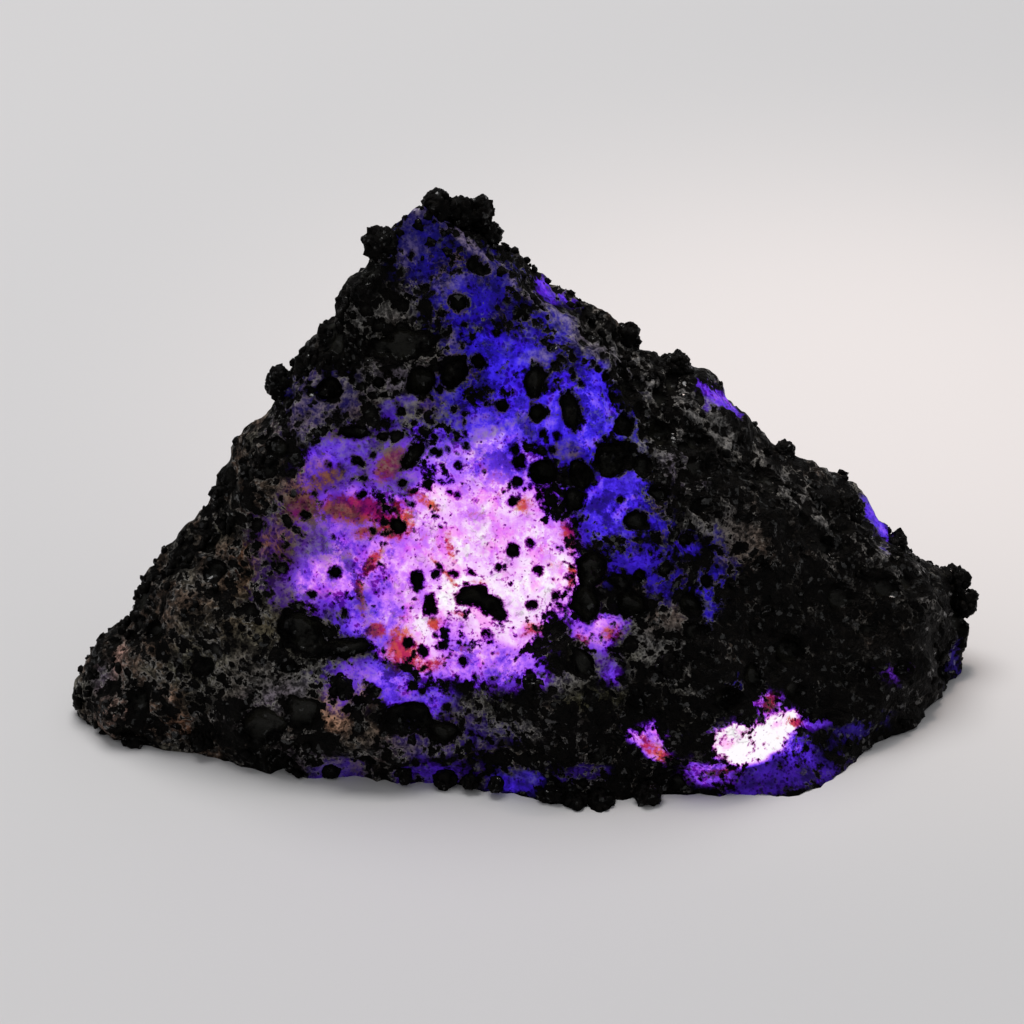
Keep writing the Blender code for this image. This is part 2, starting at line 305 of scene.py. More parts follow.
# Windows in the crust, as the eye sees them: (across, up, half width, half height, turn in degrees,
# openness, light, blueness). Openness 1 is bare sapphire and 0.5 a lace of crust. Light 1 is the
# white-hot middle. Blueness 0 is violet and pink, 1 is pure blue.
WINDOWS = [
    (-2, 14.4, 4.4, 3.4, 0, 1, 1.06, 0),
    (-4.4, 18.2, 4.6, 3.4, 0, 1, 0.98, 0),
    (0.4, 19.2, 2.6, 2.4, 0, 1, 0.9, 0),
    (0.6, 16.2, 2.2, 2.2, 0, 1, 1.0, 0),
    (-5.3, 14.4, 1.3, 2.4, -15, 1, 1.45, 0),
    (0.4, 15.6, 2.2, 1.2, 0, 1, 1.3, 0),
    (-8.2, 14.6, 2.2, 1.6, 0, 1, 0.86, 0),
    (-7.6, 20.4, 1.8, 1.4, 0, 1, 0.82, 0),
    (-4.6, 21, 4, 2, 10, 1, 0.92, 0),
    (-7.4, 12.2, 2.6, 2.4, 0, 1, 1.0, 0),
    (-8.8, 17.4, 2.4, 3, 0, 1, 0.76, 0),
    (-12.6, 16.6, 4.2, 2.8, 10, 0.95, 0.62, 0.05),
    (-10.4, 13.4, 2.8, 2, 0, 0.95, 0.5, 0.45),
    (-16.2, 17.6, 2.2, 3.4, -25, 0.45, 0.22, 0),
    (-12.4, 20.2, 3.6, 2, 5, 0.85, 0.5, 0),
    (-12.4, 24, 3.4, 1.5, 25, 0.85, 0.34, 0.35),
    (-8.4, 26.4, 2.2, 1, 15, 0.45, 0.26, 0.5),
    (-8.8, 23, 3, 1.4, -35, 0.7, 0.46, 0),
    (-14.4, 27.6, 3, 1.6, 30, 0.45, 0.13, 0.9),
    (-2.8, 23.4, 4.6, 1.9, -8, 1, 0.66, 0.5),
    (-0.8, 26.4, 4.2, 2.1, 0, 1, 0.46, 0.85),
    (-4.4, 28.6, 1.8, 1.4, 0, 0.6, 0.24, 0.95),
    (3, 26.6, 4.2, 3.4, -35, 0.9, 0.42, 0.95),
    (-1.2, 30.4, 3.6, 3.8, 25, 0.85, 0.32, 0.98),
    (-3.8, 34.6, 3.2, 2.6, 20, 0.8, 0.2, 1),
    (-6.8, 37.8, 2.8, 2.4, 10, 0.85, 0.13, 1),
    (-1.6, 33.6, 4.6, 1, -40, 0.6, 0.12, 0.9),
    (5.2, 20.4, 2.4, 2.8, -20, 0.95, 0.44, 0.85),
    (7.8, 20.2, 1.6, 1.5, 0, 0.7, 0.28, 0.95),
    (6.9, 17, 2.2, 1.3, 0, 0.7, 0.25, 0.85),
    (9.2, 15.4, 2.4, 1, -20, 0.55, 0.24, 0.9),
    (12.3, 15.6, 1, 2.6, -10, 0.75, 0.24, 0.95),
    (10.2, 17.8, 1, 0.8, 0, 0.8, 0.26, 0.9),
    (4.8, 12.4, 1.7, 1.2, 20, 0.85, 0.6, 0),
    (5.4, 9.9, 0.8, 1.2, 0, 0.55, 0.36, 0.2),
    (-2.9, 10.3, 4.2, 1.7, 0, 0.95, 0.64, 0.15),
    (-9.2, 8.2, 3.8, 1.5, -15, 0.85, 0.5, 0.5),
    (-11.9, 8.5, 1.4, 1.5, 0, 0.65, 0.42, 0.1),
    (-5, 5.4, 4, 1.2, 0, 0.42, 0.2, 0.5),
    (13.4, 4.7, 1.9, 1.2, 10, 1, 2.4, 0),
    (16.3, 5.5, 1.9, 1.1, 15, 1, 2.4, 0),
    (15.6, 4, 1.5, 0.7, 10, 0.9, 1.6, 0),
    (17.8, 4.4, 1, 1, 0, 0.75, 0.6, 0.6),
    (8.2, 4.8, 1.5, 0.9, -35, 0.95, 0.76, 0),
    (12, 2.6, 1.8, 0.6, 12, 0.75, 0.46, 0),
    (16, 7.4, 1.1, 0.8, 40, 0.85, 0.7, 0),
    (14.2, 8.4, 0.7, 1, 0, 0.7, 0.22, 0.9),
    (19, 6.1, 1.1, 0.6, 10, 0.7, 0.46, 0.3),
    (17, 2.4, 4.4, 1.2, 12, 0.85, 0.18, 0.5),
    (21.6, 5.4, 2.6, 0.7, 25, 0.5, 0.14, 0.7),
    (24.9, 9.4, 1, 0.6, 30, 0.55, 0.34, 0),
    (28.6, 10.2, 0.7, 1.6, -15, 0.6, 0.13, 0.7),
    (1.6, 35.2, 1.6, 0.8, -35, 0.9, 0.36, 0.5),
    (12.6, 28, 2.2, 0.6, -42, 0.9, 0.4, 0.35),
    (23.7, 19.4, 1.7, 0.7, -45, 0.9, 0.46, 0.6),
    (-11, 2.4, 2.6, 1.3, -10, 0.85, 0.18, 0.45),
    (-6, 3, 3.2, 0.9, 0, 0.6, 0.17, 0.5),
    (-0.8, 2.2, 1.6, 0.8, 0, 0.8, 0.2, 0.8),
    (3.6, 2.4, 2, 0.8, 0, 0.5, 0.14, 0.5),
]
# Windows round the back, at (x, z) on the faces that look along +Y, in the same order.
BACK_WINDOWS = [
    (-3, 13, 5.5, 4, 10, 1, 0.8, 0.1),
    (5, 8.5, 6, 3, -20, 0.75, 0.42, 0.5),
    (-8.5, 19.5, 3.6, 5, 25, 0.75, 0.32, 0.9),
    (-13.5, 8, 4.6, 2.2, 15, 0.6, 0.3, 0.6),
    (14.5, 6, 4.4, 1.8, -15, 0.7, 0.3, 0.7),
    (-6.5, 28, 2, 3.8, 15, 0.7, 0.18, 1),
    (2.5, 20, 3, 1.6, -30, 0.55, 0.24, 0.9),
    (20.5, 9, 2.2, 1, -30, 0.55, 0.22, 0.6),
]
# Rust stains of the front: (across, up, half width, half height, turn, strength).
STAINS = [
    (-11.5, 20.4, 3, 1.1, -5, 1),
    (-9, 19.3, 1.3, 1.1, 0, 1),
    (-10.6, 18.9, 1.4, 0.5, 10, 0.8),
    (-7, 21, 1.6, 0.4, -35, 0.7),
    (-15.4, 20.4, 2, 1, 30, 0.9),
    (-16.4, 17.4, 0.9, 2, -20, 0.7),
    (-10.4, 16.9, 0.4, 1.2, -35, 0.9),
    (-11.2, 14.4, 0.35, 1.8, 5, 0.7),
    (-10.2, 12.3, 0.8, 0.6, 0, 0.9),
    (-8.4, 11, 1.4, 1.7, 20, 0.85),
    (-6.4, 12.7, 0.5, 0.35, -30, 0.8),
    (-5.6, 16.15, 1.6, 0.22, -49, 0.7),
    (-13.6, 22.4, 1.6, 0.8, 30, 0.7),
    (-6.6, 9.9, 1.3, 0.5, 20, 0.7),
    (-4.6, 13.4, 0.7, 0.25, -15, 0.6),
    (-5.3, 18.1, 0.35, 1.3, 15, 0.5),
    (-0.4, 20.7, 0.7, 0.6, 0, 0.8),
    (2.7, 18.6, 0.6, 1.4, 15, 0.9),
    (2.9, 15.9, 0.4, 1, 0, 0.8),
    (0.6, 12.4, 1, 0.6, -20, 0.8),
    (5.6, 12.1, 1, 0.7, 0, 0.7),
    (-9.2, 23.4, 1, 1.6, -40, 1),
    (-12.5, 25.5, 1.6, 0.6, 10, 0.7),
    (-3.4, 15.5, 0.9, 0.3, -10, 0.5),
    (-2.4, 10.8, 2.6, 0.25, -5, 0.3),
    (3.4, 11.2, 0.8, 1.2, 0, 0.7),
    (17.8, 6.2, 0.5, 0.35, 0, 1),
    (13.2, 2.9, 1.3, 0.3, 10, 0.8),
    (11.9, 4.9, 0.5, 0.4, 10, 0.8),
    (8.5, 4.2, 1.7, 0.6, -35, 0.75),
    (16.1, 7.5, 1, 0.5, 40, 0.8),
]
# Rust stains round the back, at (x, z), in the same order.
BACK_STAINS = [
    (-6.5, 15.6, 2.6, 0.9, -30, 0.9),
    (-1.2, 9.8, 1.8, 0.8, 20, 0.8),
    (2.4, 12.6, 1, 1.4, 0, 0.7),
    (-9.6, 16.2, 0.8, 2.4, -15, 0.7),
    (8.6, 6.6, 1.8, 0.6, -20, 0.7),
]
# The crust's thin skin of pale ash, patch by patch: (across, up, half width, half height, turn,
# strength, colour). The long thin patches turned about -40 degrees along the upper right band are
# partly grey veneer and partly painted light, where that band is lit from behind.
ASH_COLOURS = {
    "olive": (0.120, 0.113, 0.058),
    "grey": (0.170, 0.164, 0.160),
    "stone": (0.145, 0.136, 0.108),
    "lilac": (0.150, 0.117, 0.190),
    "brown": (0.125, 0.084, 0.062),
    "peach": (0.560, 0.300, 0.190),
    "rose": (0.460, 0.275, 0.230),
    "russet": (0.260, 0.085, 0.030),
}
ASH_AND_LIT_BAND = [
    (-17.5, 12.8, 3.6, 3, 20, 0.6, "olive"),
    (-20.5, 13.5, 2.6, 3, -35, 0.55, "brown"),
    (-14.5, 14.5, 2.6, 2.2, 0, 0.5, "brown"),
    (-19.5, 9.6, 3.4, 2.2, 10, 0.65, "grey"),
    (-15.5, 9, 3, 1.8, 0, 0.8, "grey"),
    (-16.8, 7.8, 3.2, 0.9, 22, 0.75, "lilac"),
    (-12.9, 9.9, 0.6, 2.6, 5, 0.75, "grey"),
    (-13.6, 12.6, 0.25, 2.2, -10, 0.8, "grey"),
    (-13.2, 6.9, 1.2, 1.5, 0, 1.6, "peach"),
    (-11, 8, 1.2, 0.8, 0, 0.8, "rose"),
    (-14.5, 22.3, 1.6, 1.2, 30, 0.85, "russet"),
    (-19.4, 16.4, 1.2, 1.6, 0, 0.85, "russet"),
    (-17.2, 18.3, 1.6, 0.7, 25, 0.85, "russet"),
    (-15.4, 19.4, 1.8, 1, 20, 0.7, "brown"),
    (-12.2, 28.8, 2.2, 1, 20, 0.6, "grey"),
    (-11.3, 5.4, 1.8, 1, 0, 0.95, "brown"),
    (-7.6, 4.4, 2.4, 0.8, 0, 0.6, "lilac"),
    (-22, 9.8, 2.2, 2.4, 0, 0.5, "olive"),
    (-24.5, 11.2, 1.4, 0.9, 20, 0.6, "brown"),
    (-24, 7.8, 0.9, 0.7, 0, 0.55, "peach"),
    (-27.3, 10.2, 0.5, 1.7, -12, 1.1, "rose"),
    (-28.3, 9, 0.8, 1, 0, 0.8, "lilac"),
    (-27.2, 6.6, 1.6, 1.4, 0, 0.75, "rose"),
    (-28.4, 6, 1.4, 1.8, 0, 0.7, "brown"),
    (-24.4, 6.2, 2.2, 1.1, 0, 0.65, "brown"),
    (-23.3, 6, 1.2, 0.8, 0, 0.85, "russet"),
    (-20.5, 17.2, 1.6, 1.1, 0, 0.6, "brown"),
    (-17, 21, 2.8, 2.4, -35, 0.55, "brown"),
    (-14.5, 26.8, 2.6, 2, 30, 0.6, "lilac"),
    (-9, 29, 2.6, 1.2, 0, 0.55, "lilac"),
    (-11.6, 33.2, 1.8, 1.2, 10, 0.7, "grey"),
    (-8.6, 33.6, 2.2, 0.7, 10, 0.9, "grey"),
    (-5.4, 35.4, 2.6, 0.7, 10, 0.3, "lilac"),
    (-8, 38.4, 1.4, 1.6, 0, 0.35, "lilac"),
    (-7.6, 40.4, 1.4, 0.5, -10, 0.9, "lilac"),
    (-4.6, 38.6, 3.4, 0.35, -42, 1.0, "lilac"),
    (-5.3, 31, 0.3, 1.6, -18, 0.9, "lilac"),
    (0.4, 34.4, 4.4, 0.45, -40, 0.6, "lilac"),
    (6.4, 30, 5, 1.1, -38, 1.1, "grey"),
    (12, 26.4, 4, 0.9, -42, 0.95, "grey"),
    (3.8, 31.6, 3.6, 0.6, -42, 0.8, "lilac"),
    (8.2, 25.2, 2.6, 1.6, -25, 1.15, "grey"),
    (8.6, 26.6, 1.8, 0.9, -35, 1.1, "grey"),
    (10.6, 22.8, 1.6, 1.4, -30, 0.85, "lilac"),
    (12.8, 19.4, 2.6, 1.6, -40, 0.7, "grey"),
    (14.2, 18, 2.2, 1.8, 0, 0.65, "brown"),
    (8, 11.6, 3.2, 1.6, 10, 1.0, "grey"),
    (5, 10.6, 2.4, 1.1, 0, 0.8, "olive"),
    (9.2, 13, 1.6, 1.2, 0, 0.7, "brown"),
    (2, 9, 2.6, 0.9, 0, 0.6, "grey"),
    (4.6, 8, 2, 0.8, 0, 0.45, "olive"),
    (17.4, 21.8, 4.6, 0.7, -40, 0.7, "grey"),
    (23.6, 17, 4.4, 0.7, -38, 0.65, "grey"),
    (26.6, 14.2, 2.8, 0.6, -42, 0.6, "grey"),
    (-14.2, 3.8, 2.2, 0.8, -15, 0.35, "lilac"),
    (-1, 5.6, 3.4, 0.9, 0, 0.5, "grey"),
    (2.4, 24.4, 1, 0.7, -20, 0.9, "brown"),
    (-2.6, 25.4, 2.4, 0.4, 25, 0.9, "lilac"),
    (0.4, 30.4, 1.4, 0.7, 0, 0.55, "lilac"),
]
# Gas holes of the front: (across, up, half width, half height, turn in degrees).
HOLES = [
    (-3.7, 14.6, 1.1, 0.75, 0),
    (-2.5, 13.9, 0.9, 0.8, 0),
    (-1.9, 13.3, 0.5, 0.5, 0),
    (-4.4, 14.4, 0.6, 0.5, 0),
    (-7.5, 15.6, 0.5, 0.62, 0),
    (-6.6, 13.9, 0.42, 0.75, 0),
    (-1.1, 17.6, 0.42, 0.45, 0),
    (0.1, 18.1, 0.25, 0.28, 0),
    (0.6, 16.3, 0.3, 0.3, 0),
    (-2, 16.5, 0.2, 0.24, 0),
    (0.2, 14, 0.35, 0.3, 0),
    (1.8, 14.6, 0.25, 0.35, 0),
    (1.6, 13.5, 0.2, 0.2, 0),
    (-6.8, 22, 0.28, 0.5, -25),
    (-5.3, 21.5, 0.2, 0.2, 0),
    (-4.8, 21.3, 0.18, 0.18, 0),
    (-7.9, 20.7, 0.28, 0.22, 0),
    (-8.8, 19.2, 0.55, 0.55, 0),
    (-9.4, 20.2, 0.3, 0.25, 0),
    (-7.7, 24, 0.5, 1.3, -35),
    (1, 22.9, 0.95, 0.9, 0),
    (-0.8, 22.2, 0.42, 0.4, 0),
    (-0.6, 23.5, 0.45, 0.55, 0),
    (-0.9, 24.3, 0.35, 0.4, 0),
    (2.9, 26.9, 0.7, 1.35, 12),
    (0.5, 29, 0.7, 1.2, -5),
    (0.6, 26.8, 0.65, 0.6, 0),
    (-1.8, 27.2, 0.5, 0.45, 0),
    (-2.9, 27.4, 0.35, 0.35, 0),
    (-4.6, 34.2, 0.75, 0.75, 0),
    (-5, 29.6, 1.1, 1.2, 0),
    (-3.4, 30.2, 0.6, 0.6, 0),
    (-8.5, 31.3, 2.4, 1.1, 8),
    (-3.7, 36.8, 0.6, 0.5, 0),
    (-3.1, 36.4, 0.5, 0.4, 0),
    (4.1, 16.4, 1.1, 1.4, 0),
    (3.8, 14.1, 1.05, 1.15, 0),
    (6.9, 14, 1.1, 1, 0),
    (6.2, 15.5, 0.7, 0.6, 0),
    (7.2, 19.6, 0.8, 0.75, 0),
    (5.8, 23.8, 1.6, 1.2, 20),
    (7.8, 23.4, 0.8, 0.9, 0),
    (3.4, 22.6, 0.9, 1, 0),
    (3, 20.9, 0.7, 1.1, 0),
    (11, 14, 1.05, 1, 0),
    (12, 15.6, 0.5, 0.5, 0),
    (7.4, 15.9, 0.45, 0.45, 0),
    (5.6, 15.7, 0.4, 0.4, 0),
    (11.5, 20.6, 0.8, 0.7, 0),
    (10.5, 18.4, 0.5, 0.5, 0),
    (6.4, 26, 0.75, 0.8, 0),
    (8.7, 21.4, 0.7, 0.6, 0),
    (9.2, 16.4, 0.6, 0.5, 0),
    (-15.3, 12.2, 1.7, 1.4, -20),
    (-14.4, 11.1, 0.9, 0.8, 0),
    (-15.2, 6.9, 1.3, 1.2, 0),
    (-17.8, 5.9, 1.8, 1.3, 15),
    (-21.2, 16.3, 0.95, 0.9, 0),
    (-10.4, 8.3, 0.6, 0.5, 0),
    (-8.2, 6.3, 1.7, 1.1, 0),
    (-5.8, 5.4, 1.2, 0.8, 0),
    (-13, 8.3, 0.3, 0.8, 0),
    (-16, 9.8, 0.6, 0.5, 0),
    (-13.3, 5.2, 0.8, 0.5, 0),
    (-15.2, 18.8, 0.35, 0.35, 0),
    (-13, 16.2, 0.45, 0.5, 0),
    (-12.5, 11.1, 1.9, 0.7, 5),
    (-11.5, 25.5, 1.2, 0.5, 0),
    (-9.8, 25.2, 0.4, 0.35, 0),
    (-8, 11.4, 0.4, 0.38, 0),
    (-7.1, 10.9, 0.45, 0.35, -30),
    (-5.8, 11.2, 0.36, 0.33, 0),
    (-4.4, 10.2, 0.36, 0.4, 0),
    (-11.3, 7.6, 0.7, 0.5, 0),
    (17.5, 11, 1.3, 1.1, 0),
    (21, 14.5, 1.1, 1, 0),
    (13.3, 7.8, 1.1, 0.9, 0),
    (24.8, 9.8, 0.9, 0.8, 0),
    (-21.8, 9.8, 0.9, 0.8, 0),
    (-25, 12.3, 0.9, 0.8, 0),
    (-13.3, 28.3, 0.9, 0.8, 0),
]
# Gas holes round the back: (x, z, radius).
BACK_HOLES = [
    (-19, 4.5, 1.1),
    (-11, 11, 1.5),
    (-6.5, 20.5, 1.2),
    (-2, 7, 1.3),
    (3, 15, 1.6),
    (8.5, 6.5, 1.2),
    (14, 9.5, 1.4),
    (21.5, 3.5, 1.1),
]
BACK_HOLE_SQUASH = 0.85
# Strewn gas holes: how many places are tried, the smallest radius, and the largest where the sapphire
# is bare, where its crust is torn, and on whole crust, each with the crust margin that it holds up to.
STREWN_TRIES = 1500
SMALLEST_HOLE = 0.24
LARGEST_HOLES = [(-0.3, 0.27), (0.3, 0.35), (math.inf, 1.05)]
# Foam in the crust, large and small bubbles: (spacing, radius, crust margin where there are none and
# where they are full size, depth, width of the rim that isn't dark, seed).
FOAM = [
    (2.3, 1.02, -0.45, 0.20, 0.42, 0.45, 5),
    (1.15, 0.55, -0.50, 0.15, 0.26, 0.20, 6),
]
CRUST_THICKNESS = 0.26
CRUST_ROUGHNESS = 0.14
BARE_DEPTH = 0.10
BARE_ROUGHNESS = 0.05
WANDER = 0.8
BRICKS = (212, 72, 130)


def pool(one, two, patch):
    """How near places are to the middle of a turned oval patch: exp(-(u^2 + v^2)^1.4) with u and v the
    distances along its two half axes, 1 at its middle and 0.37 at its rim."""
    middle_one, middle_two, half_one, half_two, turn = patch[:5]
    cos, sin = math.cos(math.radians(turn)), math.sin(math.radians(turn))
    u = ((one - middle_one) * cos + (two - middle_two) * sin) / half_one
    v = ((two - middle_two) * cos - (one - middle_one) * sin) / half_two
    return np.exp(-((u * u + v * v) ** 1.4))


def torch_light(points, looks):
    """How open the crust is at points, how much light comes out there, and how blue it is.

    Openness is the largest of the windows' pools, each times its own openness. Light and blueness
    are the windows' own, averaged with the squares of their pools as weights, and light fades out
    past every window. On the front, noise moves the places first, so the windows' outlines wander.
    """
    across, up = seen_at(points)
    across += WANDER * roughness_of(points, 3.0, 3, seed=15)
    up += WANDER * roughness_of(points, 3.0, 3, seed=18)
    to_front = ease(-0.15, 0.15, looks @ TO_EYE)
    to_back = ease(0.1, 0.4, looks[:, 1])
    openness = np.zeros(len(points))
    light = np.zeros(len(points))
    blue = np.zeros(len(points))
    weight = np.full(len(points), 1e-6)
    for windows, one, two, facing in (
        (WINDOWS, across, up, to_front),
        (BACK_WINDOWS, points[:, 0], points[:, 2], to_back),
    ):
        for window in windows:
            near = pool(one, two, window) * facing
            openness = np.maximum(openness, window[5] * near)
            light += window[6] * near**2
            weight += near**2
            blue += window[7] * near**2
    return openness, light / np.maximum(weight, 0.06), blue / weight


def stains(points, looks):
    """The strongest of the rust stains at points of the front and the back."""
    across, up = seen_at(points)
    found = np.zeros(len(points))
    for patches, one, two, facing in (
        (STAINS, across, up, ease(-0.2, 0.2, looks @ TO_EYE)),
        (BACK_STAINS, points[:, 0], points[:, 2], ease(0.1, 0.4, looks[:, 1])),
    ):
        for stain in patches:
            found = np.maximum(found, stain[5] * pool(one, two, stain) * facing)
    return found


def ash_and_lit_band(points, looks, light):
    """How thick the pale ash is at points, and its colour; along the upper right band it is partly painted
    light.

    Its patches on the front are listed one by one. The rest has a thin uneven skin of stone and brown,
    thicker on the left and round the back. It is worn off where the torch shows brightest, and the
    right face under the keel is left nearly black.
    """
    across, up = seen_at(points)
    to_front = ease(-0.2, 0.2, looks @ TO_EYE)
    uneven = roughness_of(points, 5.0, 3, seed=51)
    left = ease(6.0, -10.0, across) * ease(36.0, 28.0, up)
    dusty = np.maximum(left, 0.55 * ease(0.1, 0.4, looks[:, 1]))
    amount = np.clip(0.44 * dusty - 0.02 + (0.09 + 0.27 * dusty) * uneven, 0.0, 1.0)
    share = ease(-0.3, 0.3, roughness_of(points, 4.0, 3, seed=55))[:, None]
    thin = share * ASH_COLOURS["stone"] + (1.0 - share) * ASH_COLOURS["brown"]
    weight = 0.03 + amount
    colour = thin * weight[:, None]
    for patch in ASH_AND_LIT_BAND:
        near = pool(across, up, patch) * to_front
        amount = np.maximum(amount, patch[5] * near)
        colour += near[:, None] * ASH_COLOURS[patch[6]]
        weight += near
    right_face = ease(11.0, 15.0, across) * ease(17.5, 14.5, up) * to_front
    return (amount - 0.35 * right_face) * ease(0.80, 0.32, light), colour / weight[:, None]


def back_line(x, z):
    """Points a sight step apart on the way from 20 mm behind the middle through x and z."""
    depths = np.arange(20.0, 0.0, -SIGHT_STEP)
    return np.stack([np.full_like(depths, x), depths, np.full_like(depths, z)], axis=1)


def placed_holes():
    """The listed gas holes, each as its middle, its two half axes' ways, and their lengths."""
    spots = []
    for across, up, half_width, half_height, turn in HOLES:
        middle, _ = first_met(sight_line(across, up), lumpy_stone)
        cos, sin = math.cos(math.radians(turn)), math.sin(math.radians(turn))
        one, two = EYE_RIGHT * cos + EYE_UP * sin, EYE_UP * cos - EYE_RIGHT * sin
        spots.append((middle, one, two, half_width, half_height))
    for x, z, radius in BACK_HOLES:
        middle, _ = first_met(back_line(x, z), lumpy_stone)
        one, two = np.array([1.0, 0.0, 0.0]), np.array([0.0, 0.0, 1.0])
        spots.append((middle, one, two, radius, BACK_HOLE_SQUASH * radius))
    return spots


def strewn_holes(points, looks, crust_margin, placed):
    """More gas holes at seeded points, in the same form, many small and few large.

    With d even from 0 to 1, a radius is the smallest / sqrt(1 - d), up to the largest of all. A hole is
    left out where it is too large for the crust there, near a placed one or the foot, and at 3 places
    of 5 in bare sapphire.
    """
    dice = np.random.default_rng(41)
    placed_middles = np.array([spot[0] for spot in placed])
    spots = []
    for number in dice.choice(len(points), STREWN_TRIES, replace=False):
        radius = min(SMALLEST_HOLE * (1.0 - dice.random()) ** -0.5, LARGEST_HOLES[-1][1])
        squash = dice.uniform(0.7, 1.0)
        turn = dice.uniform(0.0, math.pi)
        middle = points[number]
        clear = np.linalg.norm(placed_middles - middle, axis=1).min()
        margin = crust_margin[number]
        largest = next(size for limit, size in LARGEST_HOLES if margin < limit)
        spared = margin < LARGEST_HOLES[0][0] and number % 5 > 1
        if middle[2] < 0.8 or clear < 1.0 + radius or radius > largest or spared:
            continue
        side = np.cross(looks[number], (0.0, 0.0, 1.0))
        side /= np.linalg.norm(side)
        over = np.cross(side, looks[number])
        one = side * math.cos(turn) + over * math.sin(turn)
        two = over * math.cos(turn) - side * math.sin(turn)
        spots.append((middle, one, two, radius, radius * squash))
    return spots


def gas_holes(points, looks, crust_margin):
    """Hollows left by gas: how deep the skin sinks at points, and how far inside a rim they are.

    Each hole is an oval with u = 1 on its rim, made uneven by noise. With s its smaller half axis, its
    hollow is a cap 1.15 s sqrt(1 - u^2) deep, up to a quarter less where s is over 0.8, and its rim
    stands up in a lip of 0.10 s exp(-((u - 1.15) / 0.12)^2).
    """
    sink = np.zeros(len(points))
    inside = np.full(len(points), -0.6)
    wobble = 0.22 * roughness_of(points, 1.1, 3, seed=61)
    placed = placed_holes()
    strewn = strewn_holes(points, looks, crust_margin, placed)
    for middle, one, two, half_one, half_two in placed + strewn:
        offset = points - middle
        small = min(half_one, half_two)
        deep = np.cross(one, two)
        u = wobble + np.sqrt(
            (offset @ one / half_one) ** 2
            + (offset @ two / half_two) ** 2
            + (offset @ deep / (1.5 * max(half_one, half_two))) ** 2
        )
        depth = 1.15 * small * (1.0 - 0.25 * ease(0.8, 1.8, small))
        sink = np.maximum(sink, depth * np.sqrt(np.clip(1.0 - u * u, 0.0, None)))
        sink -= 0.10 * small * np.exp(-(((u - 1.15) / 0.12) ** 2))
        inside = np.maximum(inside, (1.0 - u) * small)
    return sink, inside


def cut_flat(points):
    """Draws points under the table back along their rays from the heart until they lie on it."""
    height = HEART[2]
    back = np.where(points[:, 2] < 0.0, height / (height - points[:, 2]), 1.0)
    return HEART + (points - HEART) * back[:, None]


def finished_stone():
    """The stone's points, its faces, the ring round its foot, and what its finish reads at each point.

    The crust margin runs from about -0.6 on bare sapphire to 0.4 on whole crust. Foam bubbles shrink
    to nothing towards the bare sapphire: with r such a radius, a bubble is a cap of
    depth * sqrt((r - distance) / radius).
    """
    shares, faces, ring = block_skin(BRICKS)
    points, looks = lumpy_stone(block_rays(shares))
    openness, light, blue = torch_light(points, looks)
    crust_margin = 0.40 - openness + 0.26 * roughness_of(points, 3.6, 4, seed=11)
    crust = ease(-0.15, 0.15, crust_margin)

    sink, inside = gas_holes(points, looks, crust_margin)
    for spacing, radius, none_at, full_at, depth, rim, seed in FOAM:
        reach = radius * ease(none_at, full_at, crust_margin) - nearest_bubble(points, spacing, seed)
        sink = np.maximum(sink, depth * np.sqrt(np.clip(reach, 0.0, None) / radius))
        inside = np.maximum(inside, reach - rim)

    rise = CRUST_THICKNESS * crust - BARE_DEPTH
    rise += CRUST_ROUGHNESS * crust * roughness_of(points, 1.4, 4, seed=21)
    rise += BARE_ROUGHNESS * roughness_of(points, 0.9, 3, seed=31)
    points = cut_flat(points + looks * (rise - sink)[:, None])
    points[ring, 2] = 0.0
    ash, ash_colour = ash_and_lit_band(points, looks, light)
    finish = {
        "crust_margin": crust_margin,
        "hole_margin": inside,
        "torch_light": light,
        "blueness": blue,
        "rust": stains(points, looks),
        "ash": ash,
        "ash_colour": ash_colour,
    }
    return points, faces, ring, finish


def add_mesh(name, points, quads, rest=()):
    """Puts points in millimetres and faces into a new smooth mesh object at the origin."""
    mesh = bpy.data.meshes.new(name)
    mesh.from_pydata(points * MM, [], quads.tolist() + [list(face) for face in rest])
    mesh.shade_smooth()
    piece = bpy.data.objects.new(name, mesh)
    bpy.context.scene.collection.objects.link(piece)
    return piece


def add_values(piece, name, values):
    """Gives each of a mesh's points a number or a colour that a material can read by name."""
    if values.ndim == 1:
        layer = piece.data.attributes.new(name, "FLOAT", "POINT")
        layer.data.foreach_set("value", values.astype(np.float32))
    else:
        layer = piece.data.attributes.new(name, "FLOAT_COLOR", "POINT")
        opaque = np.column_stack([values, np.ones(len(values))])
        layer.data.foreach_set("color", opaque.astype(np.float32).ravel())


class Signal:
    """What an output of a node carries. Adding, subtracting or multiplying it adds a Math node."""

    def __init__(self, wire, socket):
        self.wire = wire
        self.socket = socket

    def __add__(self, other):
        return self.wire.work("ADD", self, other)

    def __sub__(self, other):
        return self.wire.work("SUBTRACT", self, other)

    def __mul__(self, other):
        return self.wire.work("MULTIPLY", self, other)

    def ease(self, low, high, start=0.0, end=1.0):
        """Start below low, end above high, and a smooth step between."""
        inputs = {"Value": self, "From Min": low, "From Max": high, "To Min": start, "To Max": end}
        return self.wire.add("ShaderNodeMapRange", "Result", inputs, interpolation_type="SMOOTHSTEP")

    def ramp(self, stops):
        """The colour between the stops, each a place from 0 to 1 and its colour."""
        made = self.wire.node("ShaderNodeValToRGB", {"Fac": self})
        elements = made.color_ramp.elements
        while len(elements) < len(stops):
            elements.new(0.5)
        for element, (place, colour) in zip(elements, stops):
            element.position = place
            element.color = (*colour, 1.0)
        return Signal(self.wire, made.outputs["Color"])

    def parts(self):
        """The red, green and blue of a colour, as three numbers."""
        made = self.wire.node("ShaderNodeSeparateColor", {"Color": self})
        return [Signal(self.wire, socket) for socket in made.outputs]


